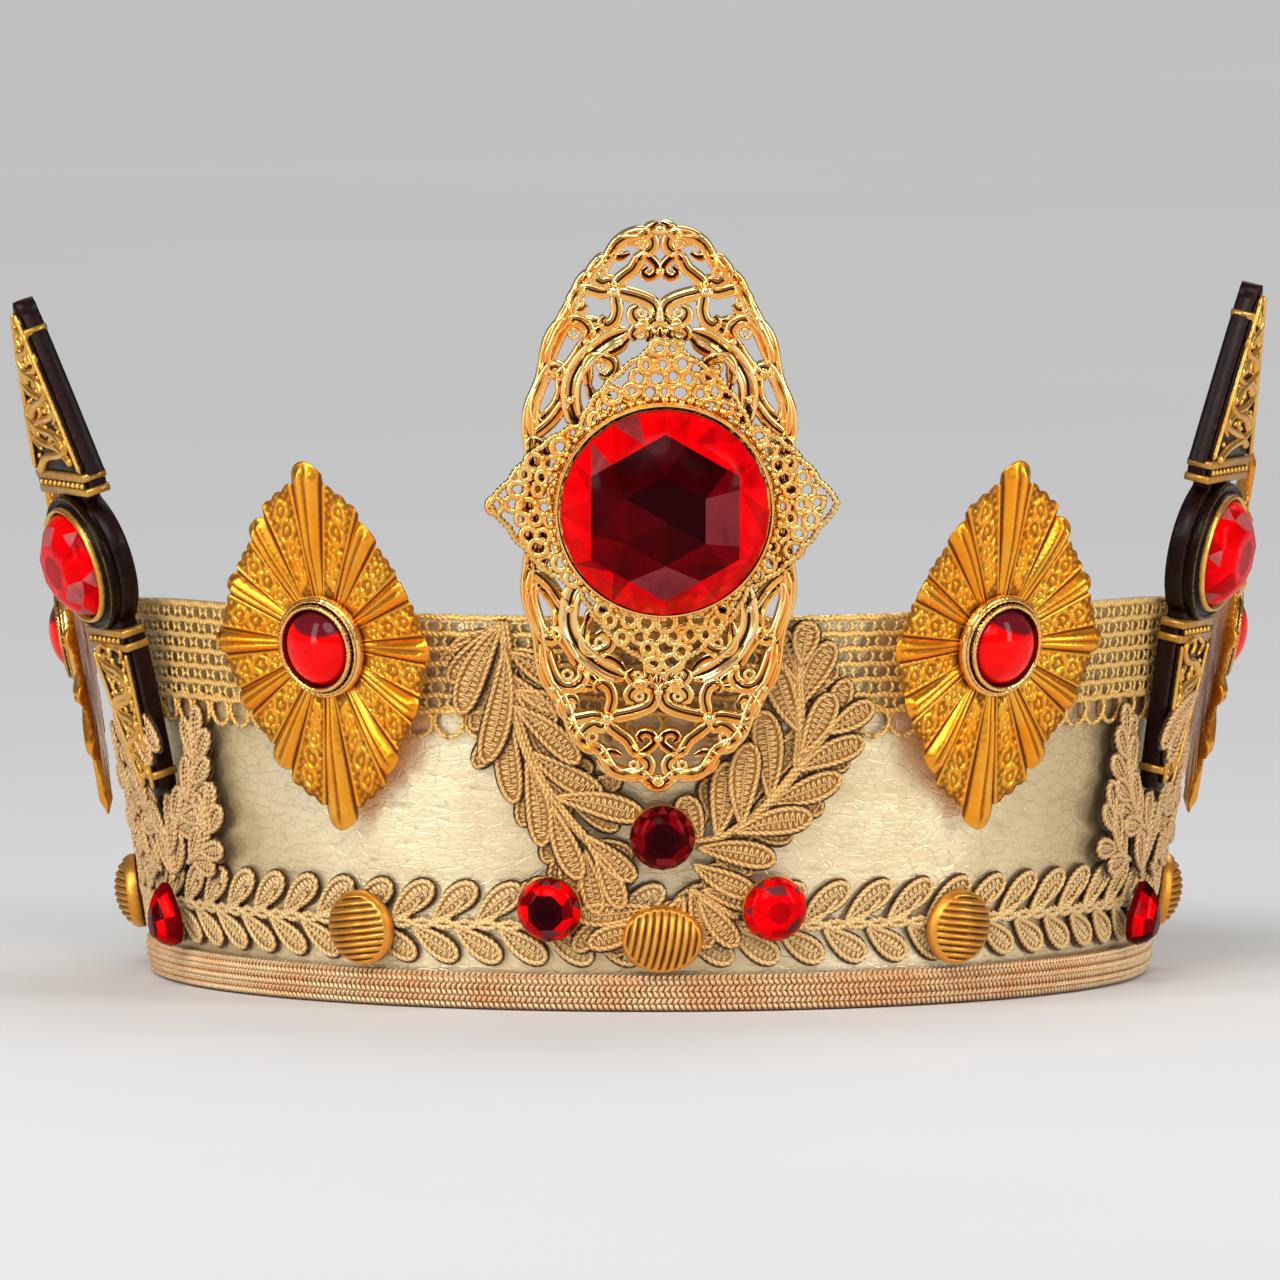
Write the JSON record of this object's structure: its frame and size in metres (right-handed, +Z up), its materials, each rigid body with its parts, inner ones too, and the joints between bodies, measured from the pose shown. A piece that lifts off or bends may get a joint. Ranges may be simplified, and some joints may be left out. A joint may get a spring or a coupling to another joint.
{
  "type": "costume crown",
  "caption": "Costume crown: flared leather-covered band with woven trims and lace sprays, pleated sunburst plates, dark side spires and a large faceted red gem on an openwork gold oval.",
  "frame": {"origin": "centre of the bottom face of the bounding box; the upright axis of the oval band stands 2.8 mm to +X and 11.5 mm to +Y of it, because the plaque and the spires lean out unevenly", "axes": "+Z up, -Y towards the front with the large gem, +X towards the wearer's left"},
  "size_m": [0.208, 0.221, 0.1311],
  "materials": {
    "lining_felt": "soft tan felt",
    "stiff_board": "stiffened buckram board, hidden between leather and lining",
    "gold_leather": "pale champagne-gold metallic leather with a fine crackle",
    "rose_gold_braid": "rose-gold metallic plaited braid",
    "gold_thread": "woven lace and cord of tan-gold metallic thread",
    "bright_gold": "polished bright gold plate",
    "pressed_gold": "satin deep-yellow gold pressing",
    "antique_gold": "antiqued gold casting with a black wash in the hollows",
    "button_gold": "satin gold with cut ribs",
    "dark_board": "brown-black lacquer with bevelled edges",
    "ruby_acrylic": "clear ruby-red acrylic, foil-backed and polished"
  },
  "bodies": {
    "root": {"lining": "lining_felt", "band_core": "stiff_board", "leather_cover": "gold_leather", "base_braid": "rose_gold_braid", "vine_trim": "gold_thread", "ladder_trim": "gold_thread", "front_spray_left": "gold_thread", "front_spray_right": "gold_thread", "side_lace_left": "gold_thread", "side_lace_right": "gold_thread", "filigree_oval": "bright_gold", "filigree_star": "bright_gold", "gem_cup": "bright_gold", "front_gem": "ruby_acrylic", "rhinestone_top": "ruby_acrylic", "rhinestone_left": "ruby_acrylic", "rhinestone_right": "ruby_acrylic", "teardrop_left": "ruby_acrylic", "teardrop_right": "ruby_acrylic", "button_front": "button_gold", "button_left": "button_gold", "button_right": "button_gold", "button_rear_left": "button_gold", "button_rear_right": "button_gold", "sunburst_front_left": "pressed_gold", "bezel_front_left": "pressed_gold", "cabochon_front_left": "ruby_acrylic", "sunburst_front_right": "pressed_gold", "bezel_front_right": "pressed_gold", "cabochon_front_right": "ruby_acrylic", "sunburst_rear_left": "pressed_gold", "bezel_rear_left": "pressed_gold", "cabochon_rear_left": "ruby_acrylic", "sunburst_rear_right": "pressed_gold", "bezel_rear_right": "pressed_gold", "cabochon_rear_right": "ruby_acrylic", "spire_board_left": "dark_board", "spire_foot_plate_left": "antique_gold", "spire_point_plate_left": "antique_gold", "spire_lower_collar_left": "antique_gold", "spire_upper_collar_left": "antique_gold", "spire_medallion_left": "antique_gold", "spire_gem_left": "ruby_acrylic", "spire_board_right": "dark_board", "spire_foot_plate_right": "antique_gold", "spire_point_plate_right": "antique_gold", "spire_lower_collar_right": "antique_gold", "spire_upper_collar_right": "antique_gold", "spire_medallion_right": "antique_gold", "spire_gem_right": "ruby_acrylic"}
  },
  "joints": []
}
